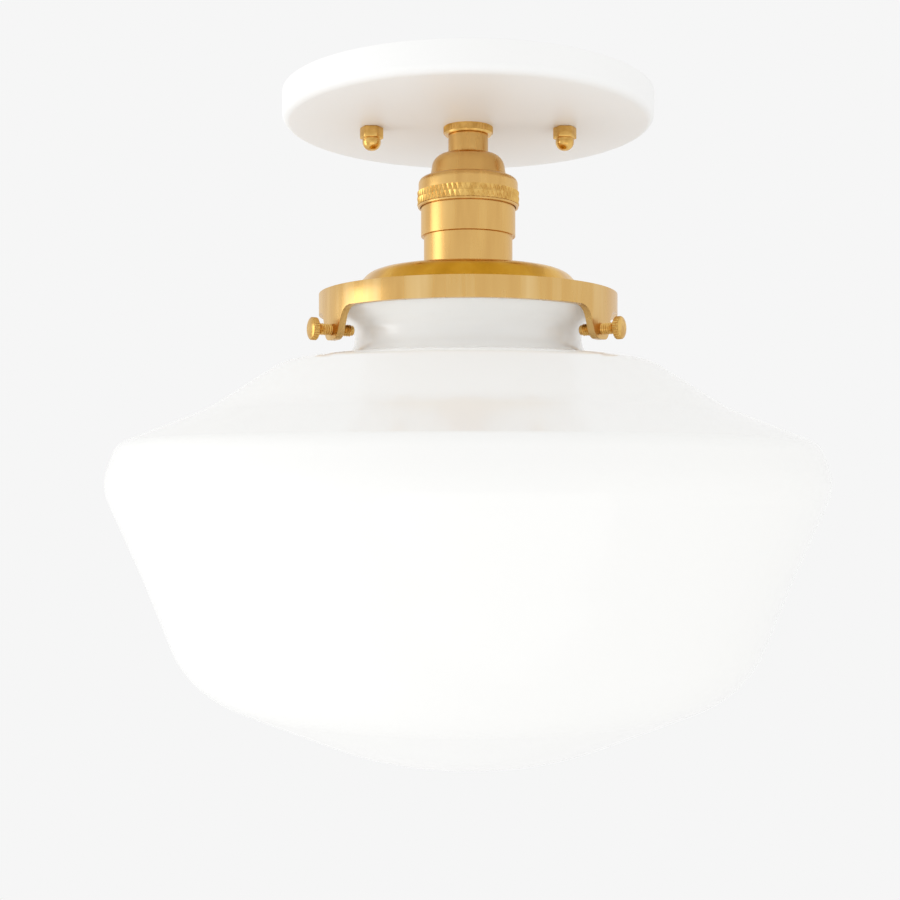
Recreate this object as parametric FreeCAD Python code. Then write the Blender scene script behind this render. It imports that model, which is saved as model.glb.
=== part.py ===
import FreeCAD, Part
import math
import os

# Semi flush ceiling light: a shallow painted canopy, a turned brass lampholder, a brass
# shade fitter with three thumbscrews, and an opal glass schoolhouse shade.
#
# Sizes are millimetres. The origin is the centre of the ceiling plane and +Z points up.
# Everything hangs below the ceiling, so heights are written as depths under it.
# X runs through the two cap nuts, and a person looking at the light stands at -Y.

# ---- driving dimensions ---------------------------------------------------------------

# fits and threads
RUNNING_GAP = 0.05          # radial clearance of a turning or sliding fit
SCREW_RADIUS = 2.08         # No. 8 machine thread: studs and thumbscrews
SCREW_PITCH = 0.794         # 32 threads to the inch
THREAD_DEPTH = 0.35
REST_GAP = 0.3              # air between glass and the metal that carries it

# crossbar and what hangs the canopy from it
BAR_LENGTH = 106.0
BAR_WIDTH = 16.0
BAR_THICKNESS = 2.0
BAR_END_ROUNDING = 5.0
BOX_SLOT_SPACING = 88.9     # a 4 inch octagonal outlet box, 3 1/2 inch between screws
BOX_SLOT_LENGTH = 9.0
BOX_SLOT_RADIUS = 2.4
BAR_CENTRE_RADIUS = 5.05    # tapped for 1/8 IP lamp thread
STUD_SPACING = 69.85        # 2 3/4 inch between the canopy's cap nuts
STUD_REACH = 5.2            # stud inside the cap nut, below the canopy
STUD_NUT_FLATS = 8.7
STUD_NUT_HEIGHT = 3.0
GROUND_SCREW_OFFSET = 19.0
GROUND_SCREW_RADIUS = 2.4
GROUND_HEAD_FLATS = 7.9
GROUND_HEAD_HEIGHT = 2.6

# canopy
CANOPY_RADIUS = 66.7        # 5 1/4 inch pan
CANOPY_DEPTH = 10.7
CANOPY_WALL = 1.0
CANOPY_EDGE_ROUNDING = 3.0
STUD_HOLE_RADIUS = 2.6

# cap nuts
CAP_NUT_FLATS = 7.5
CAP_NUT_HEX_HEIGHT = 4.2
CAP_NUT_DOME_RADIUS = 3.3
CAP_NUT_HEIGHT = 8.3

# nipple and what clamps the canopy to the lampholder
NIPPLE_RADIUS = 5.0         # 1/8 IP thread
NIPPLE_BORE_RADIUS = 3.3
NIPPLE_RISE = 6.0           # above the inside of the canopy
NIPPLE_REACH = 10.5         # below the check ring
LOCK_NUT_FLATS = 15.9
LOCK_NUT_HEIGHT = 4.0
LOCK_WASHER_RADIUS = 8.6
LOCK_WASHER_THICKNESS = 1.0
LOCK_WASHER_TEETH = 10
CHECK_RING_RADIUS = 8.95
CHECK_RING_HEIGHT = 2.95
CHECK_RING_CHAMFER = 0.6
CHECK_RING_REED_PITCH = 1.278
REED_DEPTH = 0.28

# lampholder cap
CAP_NECK_RADIUS = 7.2
CAP_NECK_LENGTH = 6.9
CAP_DOME_RADIUS = 13.85
CAP_DOME_ROUNDING = 4.8
CAP_DOME_HEIGHT = 8.7
CAP_SHOULDER_RADIUS = 17.95
CAP_SHOULDER_HEIGHT = 5.2
CAP_SHOULDER_ROUNDING = 2.3
KNURL_RADIUS = 18.45
KNURL_HEIGHT = 4.65
CAP_LIP_HEIGHT = 0.9
CAP_WALL = 1.1
SET_SCREW_RADIUS = 1.5

# lampholder shell
SHELL_RADIUS = 17.05
SHELL_UPPER_LENGTH = 10.4   # shows under the cap
SHELL_LOWER_RADIUS = 16.0
SHELL_LOWER_LENGTH = 12.95  # shows above the fitter
SHELL_THREAD_RADIUS = 15.2
SHELL_THREAD_LENGTH = 9.0   # below the top of the fitter
SHELL_WALL = 0.7
SHELL_TUCK = 6.0            # shell inside the cap

# inside of the lampholder
LINER_WALL = 0.4
SOCKET_RADIUS = 13.4        # medium screw base, 26 mm
SOCKET_WALL = 0.4
SOCKET_LENGTH = 21.0
INSULATOR_HEIGHT = 11.0
CONTACT_RADIUS = 4.6
CONTACT_THICKNESS = 0.5
CONTACT_SPRING = 1.4        # tongue stands off the insulator
TERMINAL_OFFSET = 9.5
TERMINAL_SHANK_RADIUS = 1.6
TERMINAL_SHANK_LENGTH = 6.0
TERMINAL_HEAD_RADIUS = 3.0
TERMINAL_HEAD_HEIGHT = 2.0

# shade fitter
FITTER_WALL = 1.5
FITTER_DOME_RADIUS = 35.5   # where the flat top turns down
FITTER_DOME_ROUNDING = 8.0
FITTER_DOME_BASE_RADIUS = 42.5
FITTER_DOME_HEIGHT = 8.45
BAND_RADIUS = 53.7          # 4 inch fitter, 4 1/4 inch over the band
BAND_WALL = 2.6
BAND_HEIGHT = 7.4
BAND_EDGE_ROUNDING = 0.7
LUG_DROP = 10.9
LUG_ROOT_WIDTH = 18.0
LUG_TIP_WIDTH = 9.4
LUG_TIP_ROUNDING = 4.2
LUG_FILLET = 6.0
LUG_COUNT = 3
FIRST_LUG_ANGLE = -151.5    # degrees from +X, the lug at the viewer's left
SHADE_RING_RADIUS = 19.5
SHADE_RING_HEIGHT = 4.5

# thumbscrews
THUMBSCREW_DROP = 7.4       # axis below the band
THUMBSCREW_HEAD_RADIUS = 3.9
THUMBSCREW_HEAD_THICKNESS = 2.6
THUMBSCREW_HEAD_STANDOFF = 5.2
THUMBSCREW_CHAMFER = 0.5
THUMBSCREW_LENGTH = 16.2
THUMBSCREW_REED_PITCH = 0.942

# glass shade, outline from the lip down to the centre of the bottom
GLASS_WALL = 3.0
LIP_CLEARANCE = 1.9         # from the lip to the inside of the band
LIP_OVERHANG = 8.2          # lip beyond the neck
LIP_ROUNDING = 1.8
LIP_SLOPE = 5.4             # height of the slope from the lip to the neck
NECK_FILLET = 6.0
NECK_FOOT_ROUNDING = 7.5
NECK_FOOT_DROP = 21.6       # lip top to the crease where the neck turns out
SHOULDER_RADIUS = 66.6
SHOULDER_DROP = 1.2
SHOULDER_ROUNDING = 15.6
WAIST_RADIUS = 93.0
WAIST_DROP = 17.3
WAIST_ROUNDING = 54.5
BROW_RADIUS = 123.3
BROW_DROP = 12.3
BROW_ROUNDING = 8.0
WIDEST_RADIUS = 128.3
WIDEST_DROP = 14.3
WIDEST_ROUNDING = 16.0
SIDE_RADIUS = 114.3
SIDE_DROP = 32.1
SIDE_ROUNDING = 200.0
HEEL_RADIUS = 99.9
HEEL_DROP = 37.2
HEEL_ROUNDING = 34.8
FLOOR_RADIUS = 31.7
FLOOR_DROP = 29.8
FLOOR_ROUNDING = 120.0

# bulb
BULB_BASE_RADIUS = 13.2
BULB_BASE_LENGTH = 20.5
BULB_TIP_RADIUS = 4.6
BULB_TIP_HEIGHT = 0.9
BULB_INSULATOR_HEIGHT = 2.6
BULB_RADIUS = 30.0
BULB_NECK_RADIUS = 13.6
BULB_NECK_LENGTH = 12.0
BULB_LENGTH = 84.0          # glass envelope
BULB_WALL = 1.0

# ---- depths and radii that follow -----------------------------------------------------

CANOPY_INSIDE = CANOPY_DEPTH - CANOPY_WALL
RING_FOOT = CANOPY_DEPTH + CHECK_RING_HEIGHT
DOME_TOP = RING_FOOT + CAP_NECK_LENGTH
DOME_FOOT = DOME_TOP + CAP_DOME_HEIGHT
KNURL_TOP = DOME_FOOT + CAP_SHOULDER_HEIGHT
KNURL_FOOT = KNURL_TOP + KNURL_HEIGHT
CAP_FOOT = KNURL_FOOT + CAP_LIP_HEIGHT
SHELL_TOP = CAP_FOOT - SHELL_TUCK
SHELL_STEP = CAP_FOOT + SHELL_UPPER_LENGTH
FITTER_TOP = SHELL_STEP + SHELL_LOWER_LENGTH
SHELL_FOOT = FITTER_TOP + SHELL_THREAD_LENGTH
FLANGE_TOP = FITTER_TOP + FITTER_DOME_HEIGHT
BAND_FOOT = FLANGE_TOP + BAND_HEIGHT
LUG_FOOT = BAND_FOOT + LUG_DROP
THUMBSCREW_DEPTH = BAND_FOOT + THUMBSCREW_DROP
LIP_TOP = FLANGE_TOP + FITTER_WALL + REST_GAP
LIP_SLOPE_FOOT = THUMBSCREW_DEPTH - SCREW_RADIUS - REST_GAP
LIP_FOOT = LIP_SLOPE_FOOT - LIP_SLOPE
LIP_RADIUS = BAND_RADIUS - BAND_WALL - LIP_CLEARANCE
NECK_RADIUS = LIP_RADIUS - LIP_OVERHANG
INSULATOR_TOP = SHELL_TOP + 1.0
INSULATOR_FOOT = INSULATOR_TOP + INSULATOR_HEIGHT
SOCKET_FOOT = INSULATOR_FOOT + SOCKET_LENGTH
BULB_TOP = INSULATOR_FOOT + CONTACT_SPRING + CONTACT_THICKNESS + REST_GAP
BULB_BASE_TOP = BULB_TOP + BULB_TIP_HEIGHT + BULB_INSULATOR_HEIGHT
BULB_BASE_FOOT = BULB_BASE_TOP + BULB_BASE_LENGTH

UP = FreeCAD.Vector(0, 0, 1)
ORIGIN = FreeCAD.Vector(0, 0, 0)


# ---- outlines and primitives ------------------------------------------------------------

def corner_arc(before, corner, after, rounding):
    """Start, middle and end of the arc that rounds one corner of an outline."""
    to_before = (before - corner).normalize()
    to_after = (after - corner).normalize()
    half_angle = to_before.getAngle(to_after) / 2
    reach = rounding / math.tan(half_angle)
    inward = (to_before + to_after).normalize()
    centre = corner + inward * (rounding / math.sin(half_angle))
    return corner + to_before * reach, centre - inward * rounding, corner + to_after * reach


def outline(corners):
    """Face inside a closed outline of (point, rounding) corners."""
    spans = []
    for index, (point, rounding) in enumerate(corners):
        before = corners[index - 1][0]
        after = corners[(index + 1) % len(corners)][0]
        if rounding:
            spans.append(corner_arc(before, point, after, rounding))
        else:
            spans.append((point, None, point))
    edges = []
    for index, (start, middle, end) in enumerate(spans):
        if middle:
            edges.append(Part.Arc(start, middle, end).toShape())
        following = spans[(index + 1) % len(spans)][0]
        if end.distanceToPoint(following) > 1e-6:
            edges.append(Part.makeLine(end, following))
    return Part.Face(Part.Wire(edges))


def turned(corners):
    """Solid turned about Z from (radius, depth) or (radius, depth, rounding) corners."""
    section = []
    for corner in corners:
        rounding = corner[2] if len(corner) > 2 else 0
        section.append((FreeCAD.Vector(corner[0], 0, -corner[1]), rounding))
    return outline(section).revolve(ORIGIN, UP, 360)


def drum(radius, top, foot, x=0.0, y=0.0):
    """Upright cylinder between two depths."""
    return Part.makeCylinder(radius, foot - top, FreeCAD.Vector(x, y, -foot), UP)


def prism(points, top, foot):
    """Straight prism over a polygon of (x, y) points, between two depths."""
    ring = [FreeCAD.Vector(x, y, -foot) for x, y in points]
    ring.append(ring[0])
    return Part.Face(Part.makePolygon(ring)).extrude(UP * (foot - top))


def hexagon(flats):
    """Corners of a hexagon, from its width across flats."""
    radius = flats / math.sqrt(3)
    angles = [math.radians(60 * side) for side in range(6)]
    return [(radius * math.cos(a), radius * math.sin(a)) for a in angles]


def reeded(radius, pitch):
    """Corners of a round edge with straight V reeds at about a pitch, crests on the radius."""
    reeds = round(2 * math.pi * radius / pitch)
    points = []
    for step in range(2 * reeds):
        angle = math.pi * step / reeds
        reach = radius if step % 2 == 0 else radius - REED_DEPTH
        points.append((reach * math.cos(angle), reach * math.sin(angle)))
    return points


def threaded(radius, top, foot, bore=0.0):
    """Threaded rod between two depths, its thread drawn as V rings, with an optional bore."""
    turns = int((foot - top) / SCREW_PITCH)
    pitch = (foot - top) / turns
    corners = [(bore, top)]
    for turn in range(turns):
        corners.append((radius - THREAD_DEPTH, top + turn * pitch))
        corners.append((radius, top + (turn + 0.5) * pitch))
    corners.append((radius - THREAD_DEPTH, foot))
    corners.append((bore, foot))
    return turned(corners)


def inset(corners, wall):
    """Corners of an outline moved by a wall towards the axis side, roundings to match."""
    lines = []
    for start, end in zip(corners, corners[1:]):
        run, drop = end[0] - start[0], end[1] - start[1]
        length = math.hypot(run, drop)
        beside = (start[0] - drop / length * wall, start[1] + run / length * wall)
        lines.append((beside, (run, drop)))
    moved = []
    for (first, along), (second, across), corner in zip(lines, lines[1:], corners[1:]):
        turn = along[0] * across[1] - along[1] * across[0]
        gap = (second[0] - first[0], second[1] - first[1])
        reach = (gap[0] * across[1] - gap[1] * across[0]) / turn
        rounding = corner[2] - wall if turn > 0 else corner[2] + wall
        moved.append((first[0] + along[0] * reach, first[1] + along[1] * reach, rounding))
    return moved


# ---- crossbar and canopy fixings --------------------------------------------------------

def crossbar():
    """Steel strap that screws to the outlet box, with slots, tapped holes and a centre hole."""
    corner = FreeCAD.Vector(-BAR_LENGTH / 2, -BAR_WIDTH / 2, -BAR_THICKNESS)
    bar = Part.makeBox(BAR_LENGTH, BAR_WIDTH, BAR_THICKNESS, corner)
    uprights = [edge for edge in bar.Edges if abs(edge.tangentAt(0).z) > 0.99]
    bar = bar.makeFillet(BAR_END_ROUNDING, uprights)
    cuts = [drum(BAR_CENTRE_RADIUS, -1, BAR_THICKNESS + 1)]
    cuts.append(drum(GROUND_SCREW_RADIUS, -1, BAR_THICKNESS + 1, GROUND_SCREW_OFFSET))
    half_run = BOX_SLOT_LENGTH / 2 - BOX_SLOT_RADIUS
    for side in (-1, 1):
        cuts.append(drum(SCREW_RADIUS, -1, BAR_THICKNESS + 1, side * STUD_SPACING / 2))
        middle = side * BOX_SLOT_SPACING / 2
        low = FreeCAD.Vector(middle - half_run, -BOX_SLOT_RADIUS, -BAR_THICKNESS - 1)
        cuts.append(Part.makeBox(2 * half_run, 2 * BOX_SLOT_RADIUS, BAR_THICKNESS + 2, low))
        for end in (-half_run, half_run):
            cuts.append(drum(BOX_SLOT_RADIUS, -1, BAR_THICKNESS + 1, middle + end))
    return bar.cut(cuts)


def canopy_studs():
    """The two studs that reach from the crossbar through the canopy into the cap nuts."""
    stud = drum(SCREW_RADIUS, 0, BAR_THICKNESS).fuse(
        threaded(SCREW_RADIUS, BAR_THICKNESS, CANOPY_DEPTH + STUD_REACH))
    return pair_on_x(stud.removeSplitter(), STUD_SPACING / 2)


def stud_lock_nuts():
    """Hex nuts that lock the studs under the crossbar."""
    foot = BAR_THICKNESS + STUD_NUT_HEIGHT
    nut = prism(hexagon(STUD_NUT_FLATS), BAR_THICKNESS, foot)
    nut = nut.cut(drum(SCREW_RADIUS, BAR_THICKNESS - 1, foot + 1))
    return pair_on_x(nut, STUD_SPACING / 2)


def pair_on_x(solid, offset):
    """Two copies of a solid, at each side of the centre on X, as one group."""
    copies = []
    for side in (-1, 1):
        copy = solid.copy()
        copy.translate(FreeCAD.Vector(side * offset, 0, 0))
        copies.append(copy)
    return Part.makeCompound(copies)


def ground_screw():
    """Hex head grounding screw in the crossbar, with its screwdriver slot."""
    foot = BAR_THICKNESS + GROUND_HEAD_HEIGHT
    head = prism(hexagon(GROUND_HEAD_FLATS), BAR_THICKNESS, foot)
    slot_low = FreeCAD.Vector(-GROUND_HEAD_FLATS, -0.5, -foot - 1)
    head = head.cut(Part.makeBox(2 * GROUND_HEAD_FLATS, 1.0, 2.0, slot_low))
    screw = head.fuse(drum(GROUND_SCREW_RADIUS, 0, BAR_THICKNESS + 0.5))
    screw.translate(FreeCAD.Vector(GROUND_SCREW_OFFSET, 0, 0))
    return screw


# ---- canopy and nipple ------------------------------------------------------------------

def canopy():
    """Shallow round pan, open towards the ceiling, with a nipple hole and two stud holes."""
    inside = CANOPY_RADIUS - CANOPY_WALL
    inner_rounding = CANOPY_EDGE_ROUNDING - CANOPY_WALL
    hole = NIPPLE_RADIUS + RUNNING_GAP
    pan = turned([
        (CANOPY_RADIUS, 0),
        (CANOPY_RADIUS, CANOPY_DEPTH, CANOPY_EDGE_ROUNDING),
        (hole, CANOPY_DEPTH),
        (hole, CANOPY_INSIDE),
        (inside, CANOPY_INSIDE, inner_rounding),
        (inside, 0),
    ])
    holes = [drum(STUD_HOLE_RADIUS, 0, CANOPY_DEPTH + 1, side * STUD_SPACING / 2)
             for side in (-1, 1)]
    return pan.cut(holes)


def cap_nut(side):
    """Brass acorn nut on one stud: hex foot against the canopy, round dome below."""
    hex_foot = CANOPY_DEPTH + CAP_NUT_HEX_HEIGHT
    dome_foot = CANOPY_DEPTH + CAP_NUT_HEIGHT
    hex_part = prism(hexagon(CAP_NUT_FLATS), CANOPY_DEPTH, hex_foot)
    chamfered = turned([
        (0, CANOPY_DEPTH),
        (CAP_NUT_FLATS / math.sqrt(3), CANOPY_DEPTH),
        (CAP_NUT_FLATS / math.sqrt(3), hex_foot - 0.7),
        (CAP_NUT_FLATS / 2, hex_foot),
        (0, hex_foot),
    ])
    dome = turned([
        (0, hex_foot - 0.5),
        (CAP_NUT_DOME_RADIUS, hex_foot - 0.5),
        (CAP_NUT_DOME_RADIUS, dome_foot, CAP_NUT_DOME_RADIUS * 0.95),
        (0, dome_foot),
    ])
    bore = drum(SCREW_RADIUS + RUNNING_GAP, CANOPY_DEPTH - 1, CANOPY_DEPTH + STUD_REACH + 0.4)
    nut = hex_part.common(chamfered).fuse(dome).cut(bore)
    nut.translate(FreeCAD.Vector(side * STUD_SPACING / 2, 0, 0))
    return nut


def nipple():
    """Hollow lamp thread from inside the canopy down into the lampholder cap."""
    return threaded(NIPPLE_RADIUS, CANOPY_INSIDE - NIPPLE_RISE, RING_FOOT + NIPPLE_REACH,
                    NIPPLE_BORE_RADIUS)


def nipple_lock_nut():
    """Hex nut that pulls the lampholder up against the canopy."""
    foot = CANOPY_INSIDE - LOCK_WASHER_THICKNESS
    nut = prism(hexagon(LOCK_NUT_FLATS), foot - LOCK_NUT_HEIGHT, foot)
    return nut.cut(drum(NIPPLE_RADIUS, foot - LOCK_NUT_HEIGHT - 1, foot + 1))


def nipple_lock_washer():
    """Toothed washer between the nut and the inside of the canopy."""
    top = CANOPY_INSIDE - LOCK_WASHER_THICKNESS
    points = []
    for step in range(4 * LOCK_WASHER_TEETH):
        angle = math.pi * step / (2 * LOCK_WASHER_TEETH)
        reach = LOCK_WASHER_RADIUS if step % 4 < 2 else LOCK_WASHER_RADIUS - 1.4
        points.append((reach * math.cos(angle), reach * math.sin(angle)))
    washer = prism(points, top, CANOPY_INSIDE)
    return washer.cut(drum(NIPPLE_RADIUS + 0.3, top - 1, CANOPY_INSIDE + 1))


def check_ring():
    """Reeded ring between the canopy and the lampholder's neck."""
    ring = prism(reeded(CHECK_RING_RADIUS, CHECK_RING_REED_PITCH), CANOPY_DEPTH, RING_FOOT)
    chamfered = turned([
        (NIPPLE_RADIUS, CANOPY_DEPTH),
        (CHECK_RING_RADIUS, CANOPY_DEPTH),
        (CHECK_RING_RADIUS, RING_FOOT - CHECK_RING_CHAMFER),
        (CHECK_RING_RADIUS - CHECK_RING_CHAMFER, RING_FOOT),
        (NIPPLE_RADIUS, RING_FOOT),
    ])
    return ring.common(chamfered)


# ---- lampholder -------------------------------------------------------------------------

def lampholder_cap():
    """Turned brass cap: threaded neck, dome, ledge, rounded shoulder, knurl band and lip."""
    cavity_top = RING_FOOT + NIPPLE_REACH + CAP_WALL
    cap = turned([
        (NIPPLE_RADIUS, RING_FOOT),
        (CAP_NECK_RADIUS, RING_FOOT, 0.4),
        (CAP_NECK_RADIUS, DOME_TOP, 0.8),
        (CAP_DOME_RADIUS - 1.4, DOME_TOP + 0.6, CAP_DOME_ROUNDING),
        (CAP_DOME_RADIUS, DOME_FOOT, 0.3),
        (CAP_SHOULDER_RADIUS, DOME_FOOT, CAP_SHOULDER_ROUNDING),
        (CAP_SHOULDER_RADIUS, KNURL_TOP),
        (KNURL_RADIUS, KNURL_TOP, 0.3),
        (KNURL_RADIUS, KNURL_FOOT, 0.3),
        (CAP_SHOULDER_RADIUS + 0.2, KNURL_FOOT),
        (CAP_SHOULDER_RADIUS + 0.2, CAP_FOOT, 0.3),
        (SHELL_RADIUS, CAP_FOOT),
        (SHELL_RADIUS, SHELL_TOP - 0.3),
        (CAP_DOME_RADIUS - 1.2, DOME_FOOT + 1.4, 1.0),
        (NIPPLE_RADIUS + 3.4, cavity_top, 1.0),
        (NIPPLE_RADIUS, cavity_top),
    ])
    screw_depth = RING_FOOT + CAP_NECK_LENGTH / 2
    hole = Part.makeCylinder(SET_SCREW_RADIUS, CAP_NECK_RADIUS,
                             FreeCAD.Vector(0, NIPPLE_RADIUS - 1, -screw_depth),
                             FreeCAD.Vector(0, 1, 0))
    return cap.cut(hole)


def cap_set_screw():
    """Slotted grub screw at the back of the cap's neck, which stops it from unscrewing."""
    depth = RING_FOOT + CAP_NECK_LENGTH / 2
    reach = CAP_NECK_RADIUS - NIPPLE_RADIUS + 0.5
    screw = Part.makeCylinder(SET_SCREW_RADIUS, reach, FreeCAD.Vector(0, NIPPLE_RADIUS, -depth),
                              FreeCAD.Vector(0, 1, 0))
    slot_low = FreeCAD.Vector(-SET_SCREW_RADIUS, NIPPLE_RADIUS + reach - 0.6, -depth - 0.2)
    return screw.cut(Part.makeBox(2 * SET_SCREW_RADIUS, 1.0, 0.4, slot_low))


def lampholder_shell():
    """Brass shell in two steps, with the thread below the fitter that takes the shade ring."""
    return turned([
        (SHELL_RADIUS, SHELL_TOP),
        (SHELL_RADIUS, SHELL_STEP, 0.3),
        (SHELL_LOWER_RADIUS, SHELL_STEP, 0.2),
        (SHELL_LOWER_RADIUS, FITTER_TOP),
        (SHELL_THREAD_RADIUS, FITTER_TOP),
        (SHELL_THREAD_RADIUS, SHELL_FOOT),
        (SHELL_THREAD_RADIUS - SHELL_WALL, SHELL_FOOT),
        (SHELL_THREAD_RADIUS - SHELL_WALL, SHELL_STEP - SHELL_WALL),
        (SHELL_RADIUS - SHELL_WALL, SHELL_STEP - SHELL_WALL),
        (SHELL_RADIUS - SHELL_WALL, SHELL_TOP),
    ])


def shell_liner():
    """Insulating sleeve between the shell and the screw shell."""
    outside = SHELL_THREAD_RADIUS - SHELL_WALL
    return turned([
        (outside, SHELL_STEP),
        (outside, SHELL_FOOT - 0.5),
        (outside - LINER_WALL, SHELL_FOOT - 0.5),
        (outside - LINER_WALL, SHELL_STEP),
    ])


def lampholder_insulator():
    """Porcelain body that carries the contacts and the terminals."""
    radius = SHELL_RADIUS - SHELL_WALL
    screw_foot = INSULATOR_TOP + TERMINAL_SHANK_LENGTH
    body = turned([
        (0, INSULATOR_TOP),
        (radius, INSULATOR_TOP, 0.8),
        (radius, INSULATOR_FOOT - 3.0),
        (SOCKET_RADIUS + SOCKET_WALL, INSULATOR_FOOT - 3.0),
        (SOCKET_RADIUS + SOCKET_WALL, INSULATOR_FOOT),
        (0, INSULATOR_FOOT),
    ])
    cuts = [drum(TERMINAL_SHANK_RADIUS, INSULATOR_TOP - 1, screw_foot, side * TERMINAL_OFFSET)
            for side in (-1, 1)]
    cuts.append(drum(TERMINAL_SHANK_RADIUS, INSULATOR_TOP - 1, INSULATOR_FOOT + 1))
    return body.cut(cuts)


def terminal_screw():
    """Slotted binding screw on top of the insulator."""
    top = INSULATOR_TOP - TERMINAL_HEAD_HEIGHT
    head = turned([
        (0, top),
        (TERMINAL_HEAD_RADIUS, top, 0.7),
        (TERMINAL_HEAD_RADIUS, INSULATOR_TOP),
        (0, INSULATOR_TOP),
    ])
    slot_low = FreeCAD.Vector(-TERMINAL_HEAD_RADIUS, -0.4, -top - 0.8)
    head = head.cut(Part.makeBox(2 * TERMINAL_HEAD_RADIUS, 0.8, 2.0, slot_low))
    foot = INSULATOR_TOP + TERMINAL_SHANK_LENGTH
    return head.fuse(drum(TERMINAL_SHANK_RADIUS, INSULATOR_TOP - 0.5, foot))


def terminal_screw_at(side):
    """One terminal screw at its side of the insulator."""
    screw = terminal_screw()
    screw.translate(FreeCAD.Vector(side * TERMINAL_OFFSET, 0, 0))
    return screw


def centre_contact():
    """Rivet through the insulator with the sprung tongue that touches the bulb."""
    rivet = drum(TERMINAL_SHANK_RADIUS, INSULATOR_TOP, INSULATOR_FOOT)
    tongue_top = INSULATOR_FOOT + CONTACT_SPRING
    tongue = turned([
        (0, INSULATOR_FOOT),
        (TERMINAL_SHANK_RADIUS, INSULATOR_FOOT),
        (TERMINAL_SHANK_RADIUS, tongue_top),
        (CONTACT_RADIUS, tongue_top),
        (CONTACT_RADIUS, tongue_top + CONTACT_THICKNESS),
        (0, tongue_top + CONTACT_THICKNESS),
    ])
    return rivet.fuse(tongue).removeSplitter()


def screw_shell():
    """Thin threaded cup that the bulb screws into, open at the bottom."""
    outside = SOCKET_RADIUS + SOCKET_WALL
    return turned([
        (outside, INSULATOR_FOOT),
        (outside, SOCKET_FOOT),
        (SOCKET_RADIUS, SOCKET_FOOT),
        (SOCKET_RADIUS, INSULATOR_FOOT + SOCKET_WALL),
        (CONTACT_RADIUS + 3.0, INSULATOR_FOOT + SOCKET_WALL),
        (CONTACT_RADIUS + 3.0, INSULATOR_FOOT),
    ])


# ---- shade fitter -----------------------------------------------------------------------

def lug_blank():
    """One lug as a flat tapered tab with filleted roots, across the +X side of the band."""
    root, tip = LUG_ROOT_WIDTH / 2, LUG_TIP_WIDTH / 2
    edge = root + 2 * LUG_FILLET
    tab = [
        (-edge, BAND_FOOT - 1.0, 0),
        (edge, BAND_FOOT - 1.0, 0),
        (edge, BAND_FOOT, 0),
        (root, BAND_FOOT, LUG_FILLET),
        (tip, LUG_FOOT, LUG_TIP_ROUNDING),
        (-tip, LUG_FOOT, LUG_TIP_ROUNDING),
        (-root, BAND_FOOT, LUG_FILLET),
        (-edge, BAND_FOOT, 0),
    ]
    near = BAND_RADIUS / 2
    corners = [(FreeCAD.Vector(near, y, -depth), rounding) for y, depth, rounding in tab]
    return outline(corners).extrude(FreeCAD.Vector(BAND_RADIUS, 0, 0))


def lug_angles():
    """Directions of the lugs and their thumbscrews, in degrees from +X."""
    return [FIRST_LUG_ANGLE + 360.0 * lug / LUG_COUNT for lug in range(LUG_COUNT)]


def shade_fitter():
    """Brass gallery: raised dome, flat flange, outer band and the lugs for the thumbscrews."""
    flange_foot = FLANGE_TOP + FITTER_WALL
    gallery = turned([
        (SHELL_THREAD_RADIUS, FITTER_TOP),
        (FITTER_DOME_RADIUS, FITTER_TOP, FITTER_DOME_ROUNDING),
        (FITTER_DOME_BASE_RADIUS, FLANGE_TOP, 0.8),
        (BAND_RADIUS, FLANGE_TOP, BAND_EDGE_ROUNDING),
        (BAND_RADIUS, BAND_FOOT),
        (BAND_RADIUS - BAND_WALL, BAND_FOOT),
        (BAND_RADIUS - BAND_WALL, flange_foot),
        (FITTER_DOME_BASE_RADIUS - FITTER_WALL, flange_foot),
        (FITTER_DOME_RADIUS - FITTER_WALL, FITTER_TOP + FITTER_WALL,
         FITTER_DOME_ROUNDING - FITTER_WALL),
        (SHELL_THREAD_RADIUS, FITTER_TOP + FITTER_WALL),
    ])
    skirt = turned([
        (BAND_RADIUS, BAND_FOOT - 1.0),
        (BAND_RADIUS, LUG_FOOT + 1.0),
        (BAND_RADIUS - BAND_WALL, LUG_FOOT + 1.0),
        (BAND_RADIUS - BAND_WALL, BAND_FOOT - 1.0),
    ])
    hole = Part.makeCylinder(SCREW_RADIUS + RUNNING_GAP, 2 * BAND_WALL,
                             FreeCAD.Vector(BAND_RADIUS - 1.5 * BAND_WALL, 0, -THUMBSCREW_DEPTH),
                             FreeCAD.Vector(1, 0, 0))
    lug = lug_blank().common(skirt)
    for angle in lug_angles():
        turned_lug = lug.copy()
        turned_lug.rotate(ORIGIN, UP, angle)
        turned_hole = hole.copy()
        turned_hole.rotate(ORIGIN, UP, angle)
        gallery = gallery.fuse(turned_lug).cut(turned_hole)
    return gallery.removeSplitter()


def shade_ring():
    """Threaded ring on the shell, which clamps the fitter from below."""
    top = FITTER_TOP + FITTER_WALL
    foot = top + SHADE_RING_HEIGHT
    ring = turned([
        (SHELL_THREAD_RADIUS, top),
        (SHADE_RING_RADIUS, top),
        (SHADE_RING_RADIUS, foot, 0.6),
        (SHELL_THREAD_RADIUS, foot),
    ])
    notches = []
    for quarter in range(4):
        low = FreeCAD.Vector(SHADE_RING_RADIUS - 1.5, -1.5, -foot - 1)
        notch = Part.makeBox(3.0, 3.0, SHADE_RING_HEIGHT, low)
        notch.rotate(ORIGIN, UP, 90 * quarter + 45)
        notches.append(notch)
    return ring.cut(notches)


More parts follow.
